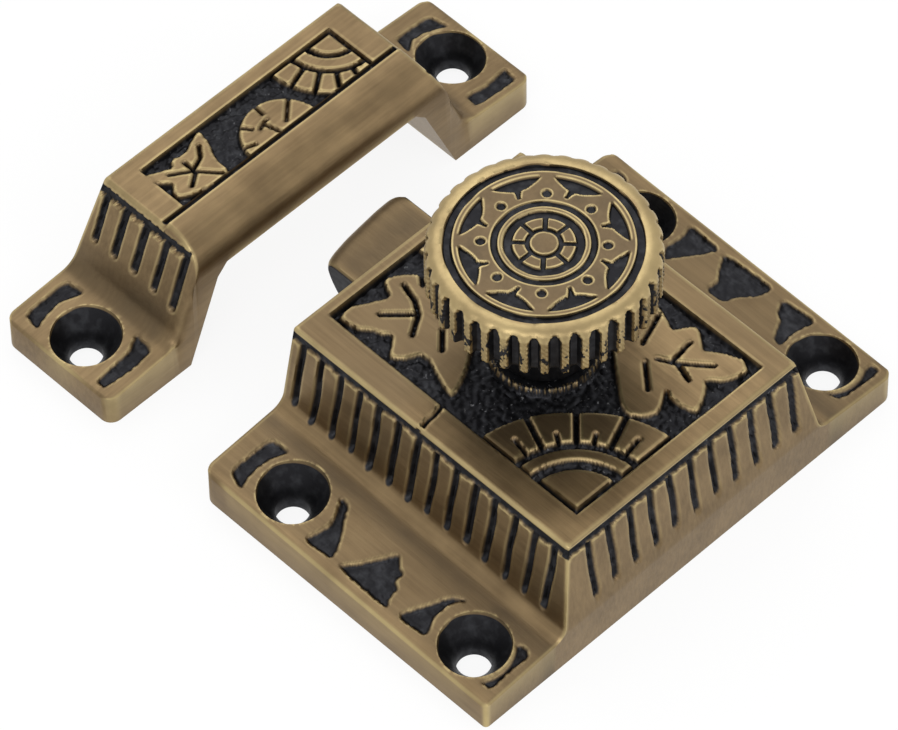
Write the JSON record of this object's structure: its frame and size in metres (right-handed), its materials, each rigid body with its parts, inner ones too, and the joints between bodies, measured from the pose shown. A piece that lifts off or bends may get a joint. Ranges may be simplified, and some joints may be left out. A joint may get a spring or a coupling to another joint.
{
  "type": "cupboard catch latch",
  "caption": "Cast brass cupboard latch: a round fluted knob draws back a sprung bolt in a carved case with screw flanges, with its matching raised keeper set beside it.",
  "frame": {"origin": "centre of the latch's four screw holes, on the flat back face that lies on the door", "axes": "+X the way the bolt shoots, toward the keeper; +Z out of the door toward the user, along the knob's axis; +Y along the plate's long side"},
  "size_m": [0.0712, 0.0624, 0.0331],
  "materials": {
    "antique_brass": "antiqued: dark brown-black in the recesses, brushed through to brass on the raised faces and worn edges",
    "bolt_brass": "brushed brown brass",
    "dark_steel": "darkened steel",
    "screw_steel": "plain bright steel"
  },
  "bodies": {
    "case": {"latch_case": "antique_brass", "back_plate": "dark_steel", "plate_screws": "screw_steel", "bolt_spring": "screw_steel", "keeper": "antique_brass"},
    "knob": {"knob": "antique_brass", "spindle": "dark_steel", "cam": "dark_steel", "cam_washer": "screw_steel", "spindle_screw": "screw_steel"},
    "bolt": {"bolt": "bolt_brass"}
  },
  "joints": [
    {"name": "knob_turn", "type": "hinge", "parent": "case", "child": "knob", "pos_m": [0.0023, 0, 0.02], "axis": [0, 0, -1], "range_deg": [0, 65], "stiffness_Nm_per_rad": 0.011, "springref_deg": -114.59},
    {"name": "bolt_slide", "type": "slide", "parent": "case", "child": "bolt", "axis": [1, 0, 0], "range_m": [-0.00681, 0], "deforming": ["bolt_spring"]}
  ],
  "couplings": [
    {"joint": "bolt_slide", "follows": "knob_turn", "m_per_rad": -0.006}
  ]
}
